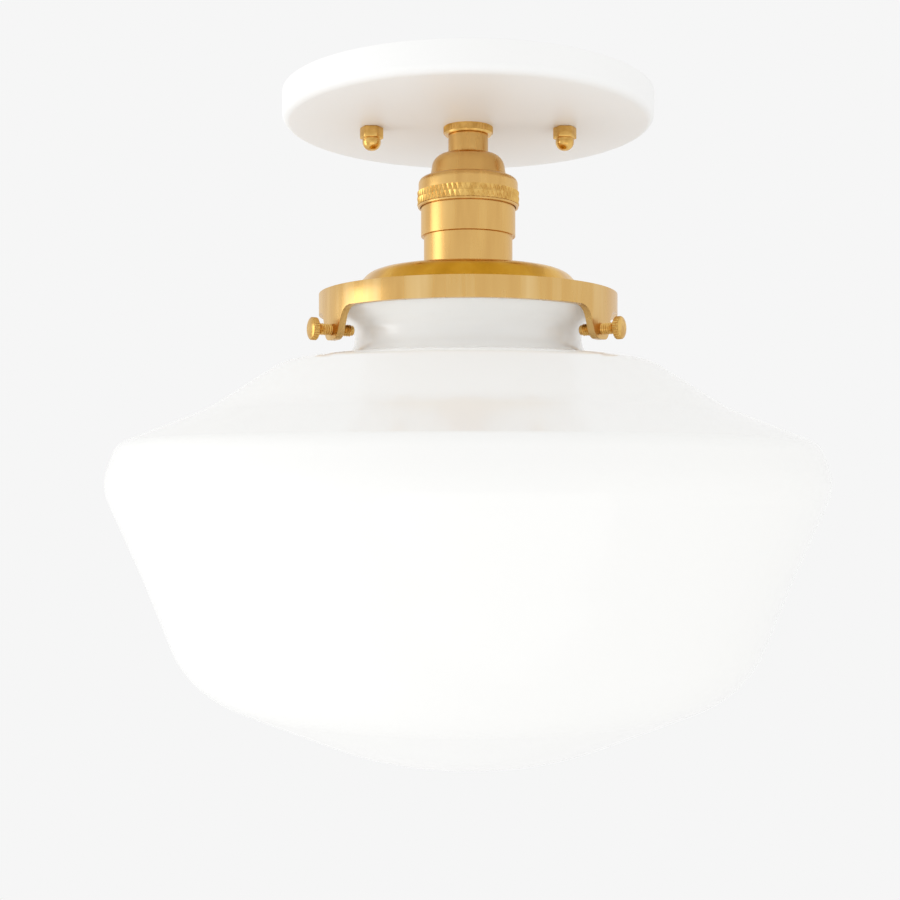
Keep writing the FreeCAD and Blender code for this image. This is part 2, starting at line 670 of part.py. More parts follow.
def thumbscrew(angle):
    """Reeded thumbscrew through one lug, its tip under the lip of the glass."""
    blank = turned([
        (0, 0),
        (THUMBSCREW_HEAD_RADIUS - THUMBSCREW_CHAMFER, 0),
        (THUMBSCREW_HEAD_RADIUS, THUMBSCREW_CHAMFER),
        (THUMBSCREW_HEAD_RADIUS, THUMBSCREW_HEAD_THICKNESS),
        (0, THUMBSCREW_HEAD_THICKNESS),
    ])
    edge = prism(reeded(THUMBSCREW_HEAD_RADIUS, THUMBSCREW_REED_PITCH), -1,
                 THUMBSCREW_HEAD_THICKNESS + 1)
    rod_foot = THUMBSCREW_LENGTH - 1.0
    rod = threaded(SCREW_RADIUS, THUMBSCREW_HEAD_THICKNESS, rod_foot)
    tip = turned([
        (0, rod_foot),
        (SCREW_RADIUS - THREAD_DEPTH, rod_foot),
        (SCREW_RADIUS - THREAD_DEPTH, THUMBSCREW_LENGTH - THUMBSCREW_CHAMFER),
        (SCREW_RADIUS - THREAD_DEPTH - THUMBSCREW_CHAMFER, THUMBSCREW_LENGTH),
        (0, THUMBSCREW_LENGTH),
    ])
    screw = blank.common(edge).fuse([rod, tip]).removeSplitter()
    outward = FreeCAD.Vector(math.cos(math.radians(angle)), math.sin(math.radians(angle)), 0)
    face = BAND_RADIUS + THUMBSCREW_HEAD_STANDOFF + THUMBSCREW_HEAD_THICKNESS
    place = outward * face - UP * THUMBSCREW_DEPTH
    screw.Placement = FreeCAD.Placement(place, FreeCAD.Rotation(UP, outward))
    return screw


# ---- glass ------------------------------------------------------------------------------

def glass_outline():
    """Outside of the shade below its lip, from the neck to the centre of the bottom."""
    drops = [
        (NECK_RADIUS, NECK_FOOT_DROP, NECK_FOOT_ROUNDING),
        (SHOULDER_RADIUS, SHOULDER_DROP, SHOULDER_ROUNDING),
        (WAIST_RADIUS, WAIST_DROP, WAIST_ROUNDING),
        (BROW_RADIUS, BROW_DROP, BROW_ROUNDING),
        (WIDEST_RADIUS, WIDEST_DROP, WIDEST_ROUNDING),
        (SIDE_RADIUS, SIDE_DROP, SIDE_ROUNDING),
        (HEEL_RADIUS, HEEL_DROP, HEEL_ROUNDING),
        (FLOOR_RADIUS, FLOOR_DROP, FLOOR_ROUNDING),
    ]
    corners = []
    depth = LIP_TOP
    for radius, drop, rounding in drops:
        depth += drop
        corners.append((radius, depth, rounding))
    corners.append((0, depth))
    return corners


def glass_shade():
    """Hollow opal globe: rolled lip, neck, ogee shoulder, tapered side and shallow bottom."""
    outside = glass_outline()
    inside = inset([(NECK_RADIUS, LIP_TOP)] + outside, GLASS_WALL)
    bottom = outside[-1][1]
    corners = [
        (LIP_RADIUS, LIP_TOP, LIP_ROUNDING),
        (LIP_RADIUS, LIP_FOOT, LIP_ROUNDING),
        (NECK_RADIUS, LIP_SLOPE_FOOT, NECK_FILLET),
    ]
    corners += outside
    corners.append((0, bottom - GLASS_WALL))
    corners += inside[::-1]
    corners.append((NECK_RADIUS - GLASS_WALL, LIP_TOP, 1.0))
    return turned(corners)


# ---- bulb -------------------------------------------------------------------------------

def bulb_contact():
    """Tip contact of the bulb."""
    foot = BULB_TOP + BULB_TIP_HEIGHT
    return turned([(0, BULB_TOP), (BULB_TIP_RADIUS, BULB_TOP, 0.4), (BULB_TIP_RADIUS, foot), (0, foot)])


def bulb_insulator():
    """Black glass ring between the tip contact and the screw base."""
    top = BULB_TOP + BULB_TIP_HEIGHT
    return turned([(0, top), (BULB_TIP_RADIUS + 0.8, top), (BULB_BASE_RADIUS - 1.0, BULB_BASE_TOP),
                   (0, BULB_BASE_TOP)])


def bulb_base():
    """Screw base of the bulb."""
    inner = BULB_BASE_RADIUS - 0.6
    return turned([
        (0, BULB_BASE_TOP),
        (BULB_BASE_RADIUS - 1.0, BULB_BASE_TOP),
        (BULB_BASE_RADIUS, BULB_BASE_TOP + 1.0),
        (BULB_BASE_RADIUS, BULB_BASE_FOOT),
        (inner, BULB_BASE_FOOT),
        (inner, BULB_BASE_TOP + 1.0),
        (0, BULB_BASE_TOP + 1.0),
    ])


def bulb_envelope():
    """Pear shaped glass of the bulb, hollow and open into its base."""
    neck_foot = BULB_BASE_FOOT + BULB_NECK_LENGTH
    foot = BULB_BASE_FOOT + BULB_LENGTH
    outer = [
        (BULB_NECK_RADIUS, BULB_BASE_FOOT),
        (BULB_NECK_RADIUS, neck_foot, 20.0),
        (BULB_RADIUS, foot - 4 / 3 * BULB_RADIUS, 30.0),
        (BULB_RADIUS, foot, BULB_RADIUS - 0.5),
        (0, foot),
    ]
    inner = inset(outer, BULB_WALL)
    corners = outer + [(0, foot - BULB_WALL)]
    corners += inner[::-1]
    corners.append((BULB_NECK_RADIUS - BULB_WALL, BULB_BASE_FOOT))
    return turned(corners)


# ---- every piece, by its name -----------------------------------------------------------

def pieces():
    """All pieces of the light, by name."""
    left, right, back = lug_angles()
    return {
        "crossbar": crossbar(),
        "canopy_studs": canopy_studs(),
        "stud_lock_nuts": stud_lock_nuts(),
        "ground_screw": ground_screw(),
        "canopy": canopy(),
        "cap_nut_left": cap_nut(-1),
        "cap_nut_right": cap_nut(1),
        "nipple": nipple(),
        "nipple_lock_nut": nipple_lock_nut(),
        "nipple_lock_washer": nipple_lock_washer(),
        "check_ring": check_ring(),
        "lampholder_cap": lampholder_cap(),
        "cap_set_screw": cap_set_screw(),
        "lampholder_shell": lampholder_shell(),
        "shell_liner": shell_liner(),
        "lampholder_insulator": lampholder_insulator(),
        "terminal_screw_live": terminal_screw_at(-1),
        "terminal_screw_neutral": terminal_screw_at(1),
        "centre_contact": centre_contact(),
        "screw_shell": screw_shell(),
        "shade_fitter": shade_fitter(),
        "shade_ring": shade_ring(),
        "thumbscrew_left": thumbscrew(left),
        "thumbscrew_right": thumbscrew(right),
        "thumbscrew_back": thumbscrew(back),
        "glass_shade": glass_shade(),
        "bulb_contact": bulb_contact(),
        "bulb_insulator": bulb_insulator(),
        "bulb_base": bulb_base(),
        "bulb_envelope": bulb_envelope(),
    }


def main():
    """Build every piece, report its volume and write its STEP file."""
    os.makedirs("parts", exist_ok=True)
    for name, shape in pieces().items():
        print(f"{name}: valid {shape.isValid()}, {len(shape.Solids)} solid, {shape.Volume:.1f} mm3")
        shape.exportStep(f"parts/{name}.step")


main()
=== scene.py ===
"""Looks of a semi flush ceiling light: white canopy, turned brass and an opal glass shade.

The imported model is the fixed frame. Every piece that a person sees is modelled again here
in finer detail and stands for its CAD node; the hidden pieces keep their own meshes and
get a material. Sizes are millimetres under the ceiling until they reach a mesh.
"""

from __future__ import annotations

import logging
import math
from dataclasses import dataclass, field
from enum import Enum
from typing import Any, Iterable

import bmesh
import bpy
from mathutils import Matrix, Vector

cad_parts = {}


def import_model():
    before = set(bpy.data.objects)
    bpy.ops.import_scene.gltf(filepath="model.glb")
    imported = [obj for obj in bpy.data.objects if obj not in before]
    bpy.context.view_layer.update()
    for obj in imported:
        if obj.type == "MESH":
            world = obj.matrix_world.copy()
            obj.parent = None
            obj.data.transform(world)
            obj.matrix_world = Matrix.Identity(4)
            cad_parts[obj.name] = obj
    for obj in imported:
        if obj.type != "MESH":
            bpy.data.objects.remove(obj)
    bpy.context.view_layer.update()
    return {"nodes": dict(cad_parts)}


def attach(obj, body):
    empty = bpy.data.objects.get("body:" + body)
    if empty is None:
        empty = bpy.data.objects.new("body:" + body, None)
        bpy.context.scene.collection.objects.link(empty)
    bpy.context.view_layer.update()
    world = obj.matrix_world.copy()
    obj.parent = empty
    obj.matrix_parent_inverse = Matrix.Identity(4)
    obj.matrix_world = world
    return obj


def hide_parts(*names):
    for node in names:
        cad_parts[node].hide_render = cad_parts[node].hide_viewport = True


LOG = logging.getLogger("ceiling_light")
MM = 0.001
MERGE = 1e-7  # points nearer than this, in metres, are one point
FULL_TURN = 2 * math.pi
UP = Vector((0.0, 0.0, 1.0))
SIDEWAYS = Vector((0.0, 1.0, 0.0))
ORIGIN = Vector((0.0, 0.0, 0.0))


class Slot(str, Enum):
    """Names of the record's material slots; each new piece is passed one, but nothing reads it."""

    PAINT = "white_paint"
    BRASS = "brushed_brass"
    FITTER_BRASS = "fitter_brass"
    OPAL = "opal_glass"


# ---- materials ------------------------------------------------------------------------


def linear(hex_colour: str) -> tuple[float, float, float, float]:
    """Turns an sRGB hex value to linear colour.

    Args:
        hex_colour: Six hex digits, such as "D8AC66".

    Returns:
        Linear red, green, blue and an alpha of 1.
    """
    channels = [int(hex_colour[place:place + 2], 16) / 255 for place in (0, 2, 4)]
    turned = [c / 12.92 if c <= 0.04045 else ((c + 0.055) / 1.055) ** 2.4 for c in channels]
    return (turned[0], turned[1], turned[2], 1.0)


def add_node(
    tree: bpy.types.NodeTree,
    kind: str,
    settings: dict[Any, Any] | None = None,
    links: dict[Any, Any] | None = None,
) -> bpy.types.Node:
    """Adds a shader node with its settings and links.

    Args:
        tree: The material's or world's node tree.
        kind: The node's type name.
        settings: Input values by input name or number, or properties by name.
        links: Output sockets by input name or number.

    Returns:
        The new node.
    """
    node = tree.nodes.new(kind)
    for key, value in (settings or {}).items():
        if isinstance(key, str) and hasattr(node, key):
            setattr(node, key, value)
    for key, value in (settings or {}).items():
        if not (isinstance(key, str) and hasattr(node, key)):
            node.inputs[key].default_value = value
    for key, socket in (links or {}).items():
        tree.links.new(socket, node.inputs[key])
    return node


def ramp(
    tree: bpy.types.NodeTree, factor: Any, stops: Iterable[tuple[float, str]]
) -> bpy.types.Node:
    """Adds a colour ramp.

    Args:
        tree: The node tree.
        factor: The output socket that drives it.
        stops: Places from 0 to 1 with their hex colours.

    Returns:
        The colour ramp node.
    """
    node = add_node(tree, "ShaderNodeValToRGB", links={0: factor})
    elements = node.color_ramp.elements
    for number, (place, colour) in enumerate(stops):
        element = elements[number] if number < 2 else elements.new(place)
        element.position = place
        element.color = linear(colour)
    return node


@dataclass(frozen=True)
class Finish:
    """A plain finish, and the base of the others."""

    name: str
    colour: str
    roughness: float
    metallic: float = 0.0

    # Moulding and glazing leave a grain of about 0.1 mm, drawn coarser so that it shows.
    PLAIN_GRAIN_MM = 0.6
    PLAIN_GRAIN_HEIGHT_MM = 0.02
    PLAIN_GRAIN_STRENGTH = 0.05
    NOISE_ROUGHNESS = 0.55

    def shader_settings(self) -> dict[str, Any]:
        """Values that are the same all over the surface."""
        return {
            "Base Color": linear(self.colour),
            "Roughness": self.roughness,
            "Metallic": self.metallic,
        }

    def detail(self, tree: bpy.types.NodeTree, shader: bpy.types.Node) -> None:
        """Adds what varies over the surface; a plain finish has fine grain only."""
        grain = self.noise(tree, self.PLAIN_GRAIN_MM, 3.0).outputs[0]
        self.bump(tree, shader, grain, self.PLAIN_GRAIN_STRENGTH, self.PLAIN_GRAIN_HEIGHT_MM)

    def noise(
        self, tree: bpy.types.NodeTree, size_mm: float, octaves: float, vector: Any = None
    ) -> bpy.types.Node:
        """Adds noise of a real size.

        Args:
            tree: The node tree.
            size_mm: Spacing of its lumps in millimetres.
            octaves: Levels of finer detail.
            vector: Coordinates in metres, or None for Object coordinates.

        Returns:
            The noise node.
        """
        if vector is None:
            vector = add_node(tree, "ShaderNodeTexCoord").outputs["Object"]
        settings = {
            "Scale": 1 / (size_mm * MM), "Detail": octaves, "Roughness": self.NOISE_ROUGHNESS,
        }
        return add_node(tree, "ShaderNodeTexNoise", settings, {"Vector": vector})

    def bump(
        self,
        tree: bpy.types.NodeTree,
        shader: bpy.types.Node,
        height: Any,
        strength: float,
        height_mm: float,
    ) -> None:
        """Links a height to the shader's normal.

        Args:
            tree: The node tree.
            shader: The surface shader.
            height: The output socket that holds the height.
            strength: How much of the relief is kept.
            height_mm: Real height of the relief.
        """
        settings = {"Strength": strength, "Distance": height_mm * MM}
        relief = add_node(tree, "ShaderNodeBump", settings, {"Height": height})
        tree.links.new(relief.outputs[0], shader.inputs["Normal"])

    def material(self) -> bpy.types.Material:
        """Builds the material.

        Returns:
            The new material.
        """
        made = bpy.data.materials.new(self.name)
        made.use_nodes = True
        tree = made.node_tree
        tree.nodes.clear()
        shader = add_node(tree, "ShaderNodeBsdfPrincipled", self.shader_settings())
        add_node(tree, "ShaderNodeOutputMaterial", links={"Surface": shader.outputs[0]})
        self.detail(tree, shader)
        return made


@dataclass(frozen=True)
class TurnedBrass(Finish):
    """Raw brass turned on a lathe and brushed.

    The tool and the brush leave fine rings round the axis, so highlights stretch upright, and
    handling leaves faint upright streaks of tarnish, a little duller than the rest.
    """

    tarnish: str = "D4A763"
    light: str = "E2BB78"
    streak_mm: float = 9.0
    ring_mm: float = 0.35
    ring_depth_mm: float = 0.012
    anisotropy: float = 0.55

    # Brush lines are about 0.05 mm apart; ring_mm draws them coarser so that they show.
    RING_STRETCH = 4.0
    STREAK_SQUASH = (1.0, 1.0, 0.12)
    STREAK_STOPS = (0.30, 0.50, 0.72)
    WEAR_SPAN = (0.3, 0.7)
    WEAR_POLISHED = 0.06
    WEAR_DULL = 0.10
    RING_STRENGTH = 0.35

    def shader_settings(self) -> dict[str, Any]:
        """Adds the stretched highlight of a brushed metal."""
        settings = super().shader_settings()
        settings["Anisotropic"] = self.anisotropy
        return settings

    def ring_coordinates(self, tree: bpy.types.NodeTree) -> Any:
        """Coordinates that change fast across the rings and slowly along them.

        Args:
            tree: The node tree.

        Returns:
            The output socket of the coordinates, in metres.
        """
        place = add_node(tree, "ShaderNodeTexCoord").outputs["Object"]
        flat = add_node(
            tree, "ShaderNodeVectorMath", {"operation": "MULTIPLY", 1: (1, 1, 0)}, {0: place}
        ).outputs[0]
        radius = add_node(
            tree, "ShaderNodeVectorMath", {"operation": "LENGTH"}, {0: flat}
        ).outputs["Value"]
        height = add_node(tree, "ShaderNodeSeparateXYZ", links={0: place}).outputs["Z"]
        across = add_node(
            tree, "ShaderNodeMath", {"operation": "ADD"}, {0: radius, 1: height}
        ).outputs[0]
        heading = add_node(
            tree, "ShaderNodeVectorMath", {"operation": "NORMALIZE"}, {0: flat}
        ).outputs[0]
        stretch = self.ring_mm * MM * self.RING_STRETCH
        along = add_node(
            tree, "ShaderNodeVectorMath", {"operation": "SCALE", "Scale": stretch}, {0: heading}
        ).outputs[0]
        rings = add_node(tree, "ShaderNodeCombineXYZ", links={"Z": across}).outputs[0]
        return add_node(
            tree, "ShaderNodeVectorMath", {"operation": "ADD"}, {0: along, 1: rings}
        ).outputs[0]

    def detail(self, tree: bpy.types.NodeTree, shader: bpy.types.Node) -> None:
        """Adds brush rings, upright tarnish streaks and a gloss that follows them."""
        rings = self.noise(tree, self.ring_mm, 2.0, self.ring_coordinates(tree)).outputs[0]
        place = add_node(tree, "ShaderNodeTexCoord").outputs["Object"]
        upright = add_node(
            tree, "ShaderNodeVectorMath", {"operation": "MULTIPLY", 1: self.STREAK_SQUASH},
            {0: place},
        ).outputs[0]
        streaks = self.noise(tree, self.streak_mm, 3.0, upright).outputs[0]
        tones = (self.tarnish, self.colour, self.light)
        colour = ramp(tree, streaks, zip(self.STREAK_STOPS, tones)).outputs[0]
        tree.links.new(colour, shader.inputs["Base Color"])
        worn = add_node(
            tree, "ShaderNodeMapRange",
            {"From Min": self.WEAR_SPAN[0], "From Max": self.WEAR_SPAN[1],
             "To Min": self.roughness - self.WEAR_POLISHED,
             "To Max": self.roughness + self.WEAR_DULL}, {"Value": streaks},
        ).outputs[0]
        tree.links.new(worn, shader.inputs["Roughness"])
        if self.anisotropy:
            tangent = add_node(
                tree, "ShaderNodeTangent", {"direction_type": "RADIAL", "axis": "Z"}
            ).outputs[0]
            tree.links.new(tangent, shader.inputs["Tangent"])
        self.bump(tree, shader, rings, self.RING_STRENGTH, self.ring_depth_mm)


@dataclass(frozen=True)
class MachinedBrass(Finish):
    """Small machined brass: the cutter leaves a fine even grain, and handling some tarnish."""

    tarnish: str = "B07C38"

    # Cutter marks are under 0.1 mm, drawn coarser so that they show.
    MARK_MM = 0.4
    MARK_HEIGHT_MM = 0.01
    MARK_STRENGTH = 0.2
    TARNISH_MM = 3.0
    TARNISH_STOPS = (0.35, 0.6)

    def detail(self, tree: bpy.types.NodeTree, shader: bpy.types.Node) -> None:
        """Adds fine grain and tarnish."""
        marks = self.noise(tree, self.MARK_MM, 2.0).outputs[0]
        patches = self.noise(tree, self.TARNISH_MM, 2.0).outputs[0]
        tones = (self.tarnish, self.colour)
        colour = ramp(tree, patches, zip(self.TARNISH_STOPS, tones)).outputs[0]
        tree.links.new(colour, shader.inputs["Base Color"])
        self.bump(tree, shader, marks, self.MARK_STRENGTH, self.MARK_HEIGHT_MM)


@dataclass(frozen=True)
class PowderCoat(Finish):
    """Powder coat on steel: baked powder flows to a soft sheen with fine orange peel."""

    peel_mm: float = 1.1
    peel_height_mm: float = 0.012
    peel_strength: float = 0.25

    def detail(self, tree: bpy.types.NodeTree, shader: bpy.types.Node) -> None:
        """Adds the orange peel."""
        peel = self.noise(tree, self.peel_mm, 1.0).outputs[0]
        self.bump(tree, shader, peel, self.peel_strength, self.peel_height_mm)


@dataclass(frozen=True)
class OpalGlass(Finish):
    """Blown opal glass: fire polished and milky, with the long shallow ripples of blowing."""

    ripple_mm: float = 26.0
    ripple_height_mm: float = 0.25
    ripple_strength: float = 0.25
    milkiness: float = 0.10
    glow_depth_mm: float = 6.0
    refraction: float = 1.5

    def shader_settings(self) -> dict[str, Any]:
        """Adds the light that wanders inside the glass."""
        settings = super().shader_settings()
        settings["IOR"] = self.refraction
        settings["Subsurface Weight"] = self.milkiness
        settings["Subsurface Radius"] = (self.glow_depth_mm * MM,) * 3
        settings["Subsurface Scale"] = 1.0
        return settings

    def detail(self, tree: bpy.types.NodeTree, shader: bpy.types.Node) -> None:
        """Adds the ripples of hand blown glass."""
        ripples = self.noise(tree, self.ripple_mm, 1.0).outputs[0]
        self.bump(tree, shader, ripples, self.ripple_strength, self.ripple_height_mm)


@dataclass(frozen=True)
class PlatedSteel(Finish):
    """Plated steel: the plating bath leaves a faint spangle and a mottled gloss."""

    SPANGLE_MM = 2.5
    GLOSS_SPAN = (0.08, 0.12)
    CRYSTAL_MM = 0.3
    CRYSTAL_HEIGHT_MM = 0.01
    CRYSTAL_STRENGTH = 0.1

    def detail(self, tree: bpy.types.NodeTree, shader: bpy.types.Node) -> None:
        """Adds mottled gloss and fine grain."""
        spangle = self.noise(tree, self.SPANGLE_MM, 2.0).outputs[0]
        gloss = add_node(
            tree, "ShaderNodeMapRange",
            {"To Min": self.roughness - self.GLOSS_SPAN[0],
             "To Max": self.roughness + self.GLOSS_SPAN[1]},
            {"Value": spangle},
        ).outputs[0]
        tree.links.new(gloss, shader.inputs["Roughness"])
        crystals = self.noise(tree, self.CRYSTAL_MM, 2.0).outputs[0]
        self.bump(tree, shader, crystals, self.CRYSTAL_STRENGTH, self.CRYSTAL_HEIGHT_MM)


# ---- meshes -----------------------------------------------------------------------------


@dataclass(frozen=True)
class Corner:
    """One corner of an outline: distance from the axis, depth, and its rounding."""

    radius: float
    depth: float
    rounding: float = 0.0

    def place(self) -> Vector:
        """Where the corner is, in the XZ plane, in metres."""
        return Vector((self.radius * MM, 0.0, -self.depth * MM))


def trace(bm: bmesh.types.BMesh, corners: list[Corner], arc_step: float = 8.0) -> None:
    """Draws a closed outline with rounded corners as edges in the XZ plane.

    Args:
        bm: The mesh that gets the edges.
        corners: The outline's corners in order.
        arc_step: Largest turn between two points of an arc, in degrees.
    """
    spans = []
    for number, corner in enumerate(corners):
        point = corner.place()
        first = last = bm.verts.new(point)
        if corner.rounding:
            back = (corners[number - 1].place() - point).normalized()
            onward = (corners[(number + 1) % len(corners)].place() - point).normalized()
            half = back.angle(onward) / 2
            reach = corner.rounding * MM / math.tan(half)
            centre = point + (back + onward).normalized() * corner.rounding * MM / math.sin(half)
            first.co = point + back * reach
            start, end = first.co - centre, point + onward * reach - centre
            turn = math.atan2(start.cross(end).dot(SIDEWAYS), start.dot(end))
            steps = max(2, round(abs(math.degrees(turn)) / arc_step))
            swept = bmesh.ops.spin(
                bm, geom=[first], cent=centre, axis=SIDEWAYS, angle=turn, steps=steps
            )
            last = next(v for v in swept["geom_last"] if isinstance(v, bmesh.types.BMVert))
        spans.append((first, last))
    for number, (first, last) in enumerate(spans):
        following = spans[(number + 1) % len(spans)][0]
        if (last.co - following.co).length > MERGE:
            bm.edges.new((last, following))


def revolve(bm: bmesh.types.BMesh, steps: int) -> None:
    """Turns every vertex and edge a full turn about Z and closes the poles."""
    bmesh.ops.spin(
        bm, geom=bm.verts[:] + bm.edges[:], cent=ORIGIN, axis=UP, angle=FULL_TURN,
        steps=steps, use_merge=True,
    )
    bmesh.ops.remove_doubles(bm, verts=bm.verts, dist=MERGE)
    bmesh.ops.recalc_face_normals(bm, faces=bm.faces)


def turned(corners: list[Corner], steps: int = 128, arc_step: float = 8.0) -> bmesh.types.BMesh:
    """Makes a turned mesh from its section.

    Args:
        corners: The section's corners in order.
        steps: Faces round the axis.
        arc_step: Largest turn between two points of an arc, in degrees.

    Returns:
        The closed mesh.
    """
    bm = bmesh.new()
    trace(bm, corners, arc_step)
    revolve(bm, steps)
    return bm


def column_of(vertex: bmesh.types.BMVert, columns: int) -> int:
    """Which of the columns round the axis a vertex is on."""
    return round(math.atan2(vertex.co.y, vertex.co.x) / FULL_TURN * columns) % columns


def sink(vertex: bmesh.types.BMVert, depth_mm: float) -> None:
    """Moves a vertex towards the axis."""
    radius = math.hypot(vertex.co.x, vertex.co.y)
    vertex.co.x *= 1 - depth_mm * MM / radius
    vertex.co.y *= 1 - depth_mm * MM / radius


def mesh_object(
    bm: bmesh.types.BMesh, name: str, materials: list[bpy.types.Material], sharp: float = 32.0
) -> bpy.types.Object:
    """Turns a bmesh into an object at the origin, smooth but for its sharp edges.

    Args:
        bm: The mesh, which is freed.
        name: The object's name.
        materials: Its materials in slot order.
        sharp: Angle in degrees past which an edge stays sharp.

    Returns:
        The new object.
    """
    mesh = bpy.data.meshes.new(name)
    bm.to_mesh(mesh)
    bm.free()
    for material in materials:
        mesh.materials.append(material)
    mesh.shade_smooth()
    mesh.set_sharp_from_angle(angle=math.radians(sharp))
    made = bpy.data.objects.new(name, mesh)
    bpy.context.scene.collection.objects.link(made)
    return made


def enrol(made: bpy.types.Object, body: str, slot: Slot, *nodes: str) -> bpy.types.Object:
    """Puts a piece on its body and hides the CAD nodes that it stands for.

    Args:
        made: The piece.
        body: The CAD body it rides on.
        slot: Not used.
        nodes: The CAD nodes that it replaces.

    Returns:
        The same piece.
    """
    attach(made, body)
    if nodes:
        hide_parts(*nodes)
    LOG.info("%s: %d faces on %s", made.name, len(made.data.polygons), body)
    return made


class Finishes:
    """Every material of the light, built once."""

    def __init__(self) -> None:
        """Builds the materials."""
        self.brass = TurnedBrass("turned_brass", "E0B56E", 0.27, 1.0).material()
        # Brushed round after bending: paler and more even than the turned parts.
        self.band_brass = TurnedBrass(
            "brushed_band_brass", "DBB26E", 0.25, 1.0, light="E6C488"
        ).material()
        # Spun and buffed, so it is glossier; its deeper, more saturated gold is partly painted
        # reflection of brass in brass.
        self.polished_brass_painted_reflection = TurnedBrass(
            "polished_dome_brass_painted_reflection", "D9A22A", 0.14, 1.0, tarnish="CB951F", light="E3B23C",
            ring_depth_mm=0.004, anisotropy=0.3,
        ).material()
        self.machined_brass = MachinedBrass(
            "machined_brass", "E6BC6E", 0.26, 1.0, tarnish="D0A257"
        ).material()
        self.paint = PowderCoat("white_powder_coat", "F5F5F4", 0.42).material()
        self.opal = OpalGlass("opal_glass", "FAFAF8", 0.12).material()
        self.zinc = PlatedSteel("zinc_plated_steel", "C9CCCF", 0.34, 1.0).material()
        # Zinc plate dyed green, which marks the earth screw.
        self.green = PlatedSteel("green_dyed_zinc", "3E8A57", 0.34, 1.0).material()
        # Bright nickel: smoother and warmer than zinc.
        self.nickel = PlatedSteel("nickel_plate", "CFC8BC", 0.22, 1.0).material()
        # Pressed fibre sheet: dull and brown, like stiff card.
        self.fibre = Finish("vulcanised_fibre", "5A4A3A", 0.75).material()
        # Fired glaze: warm white with a clear gloss.
        self.porcelain = Finish("glazed_porcelain", "EFECE4", 0.12).material()
        # Acid frosted glass: soft white without a clear reflection.
        self.frost = Finish("frosted_bulb_glass", "F2F1EC", 0.45).material()
        # Cast black glass of the bulb's foot: glossy and nearly black.
        self.vitrite = Finish("black_vitrite", "15151A", 0.12).material()


# ---- sub-assemblies -----------------------------------------------------------------------


@dataclass
class Canopy:
    """White pan with its two acorn nuts."""

    finishes: Finishes
    radius: float = 66.7
    depth: float = 10.7
    wall: float = 1.0
    rounding: float = 3.0
    rim_rounding: float = 0.3
    centre_hole: float = 5.05
    stud_hole: float = 2.6
    stud_spacing: float = 69.85
    nut_flats: float = 7.5
    nut_hex: float = 4.2
    nut_height: float = 8.3
    nut_dome: float = 3.3
    nut_bevel: float = 0.45
    nut_bore: float = 2.13
    nut_bore_depth: float = 5.6
    nut_overlap: float = 0.6
    sharp: float = 32.0

    def pan(self) -> None:
        """Builds the pan with its three holes."""
        inside = self.radius - self.wall
        bm = turned([
            Corner(self.radius, 0, self.rim_rounding),
            Corner(self.radius, self.depth, self.rounding),
            Corner(self.centre_hole, self.depth),
            Corner(self.centre_hole, self.depth - self.wall),
            Corner(inside, self.depth - self.wall, self.rounding - self.wall),
            Corner(inside, 0, self.rim_rounding),
        ], steps=192)
        made = mesh_object(bm, "canopy_pan", [self.finishes.paint])
        self.drill(made)
        enrol(made, "fixture", Slot.PAINT, "canopy")

    def drill(self, made: bpy.types.Object) -> None:
        """Cuts the two stud holes into the pan."""
        bm = bmesh.new()
        for side in (-1, 1):
            place = Vector((side * self.stud_spacing / 2, 0.0, -self.depth)) * MM
            bmesh.ops.create_cone(
                bm, cap_ends=True, segments=32, radius1=self.stud_hole * MM,
                radius2=self.stud_hole * MM, depth=4 * self.wall * MM,
                matrix=Matrix.Translation(place),
            )
        cutter = mesh_object(bm, "stud_hole_cutter", [])
        hole = made.modifiers.new("stud_holes", "BOOLEAN")
        hole.operation = "DIFFERENCE"
        hole.object = cutter
        apply_modifiers(made)
        bpy.data.objects.remove(cutter)
        made.data.set_sharp_from_angle(angle=math.radians(self.sharp))

    def cap_nut(self, side: int) -> None:
        """Builds one acorn nut: bevelled hex foot and a bored dome.

        Args:
            side: -1 for the nut at -X, 1 for the one at +X.
        """
        bm = bmesh.new()
        hex_foot = self.depth + self.nut_hex
        trace(bm, [
            Corner(self.nut_bore, self.depth),
            Corner(self.nut_flats / math.sqrt(3), self.depth),
            Corner(self.nut_flats / math.sqrt(3), hex_foot),
            Corner(self.nut_bore, hex_foot),
        ])
        revolve(bm, 6)
        crest = self.nut_flats / math.sqrt(3) * MM * 0.99  # a hair inside the hexagon's corners
        rims = [e for e in bm.edges if all(math.hypot(v.co.x, v.co.y) > crest for v in e.verts)]
        bmesh.ops.bevel(
            bm, geom=rims, offset=self.nut_bevel * MM, affect="EDGES", segments=3,
            profile=0.5, material=-1,
        )
        foot = self.depth + self.nut_height
        dome = turned([
            Corner(0, self.depth + self.nut_bore_depth),
            Corner(self.nut_bore, self.depth + self.nut_bore_depth),
            Corner(self.nut_bore, hex_foot - self.nut_overlap),
            Corner(self.nut_dome, hex_foot - self.nut_overlap),
            Corner(self.nut_dome, foot, self.nut_dome * 0.9),
            Corner(0, foot),
        ], steps=48)
        merge(bm, dome)
        bmesh.ops.translate(
            bm, verts=bm.verts, vec=Vector((side * self.stud_spacing / 2 * MM, 0.0, 0.0))
        )
        name = "left" if side < 0 else "right"
        made = mesh_object(bm, f"acorn_nut_{name}", [self.finishes.machined_brass])
        enrol(made, f"cap_nut_{name}", Slot.BRASS, f"cap_nut_{name}")

    def build(self) -> None:
        """Builds every piece of the canopy."""
        self.pan()
        self.cap_nut(-1)
        self.cap_nut(1)


def merge(bm: bmesh.types.BMesh, other: bmesh.types.BMesh) -> None:
    """Adds another bmesh to one, and frees the other."""
    carrier = bpy.data.meshes.new("carrier")
    other.to_mesh(carrier)
    other.free()
    bm.from_mesh(carrier)
    bpy.data.meshes.remove(carrier)


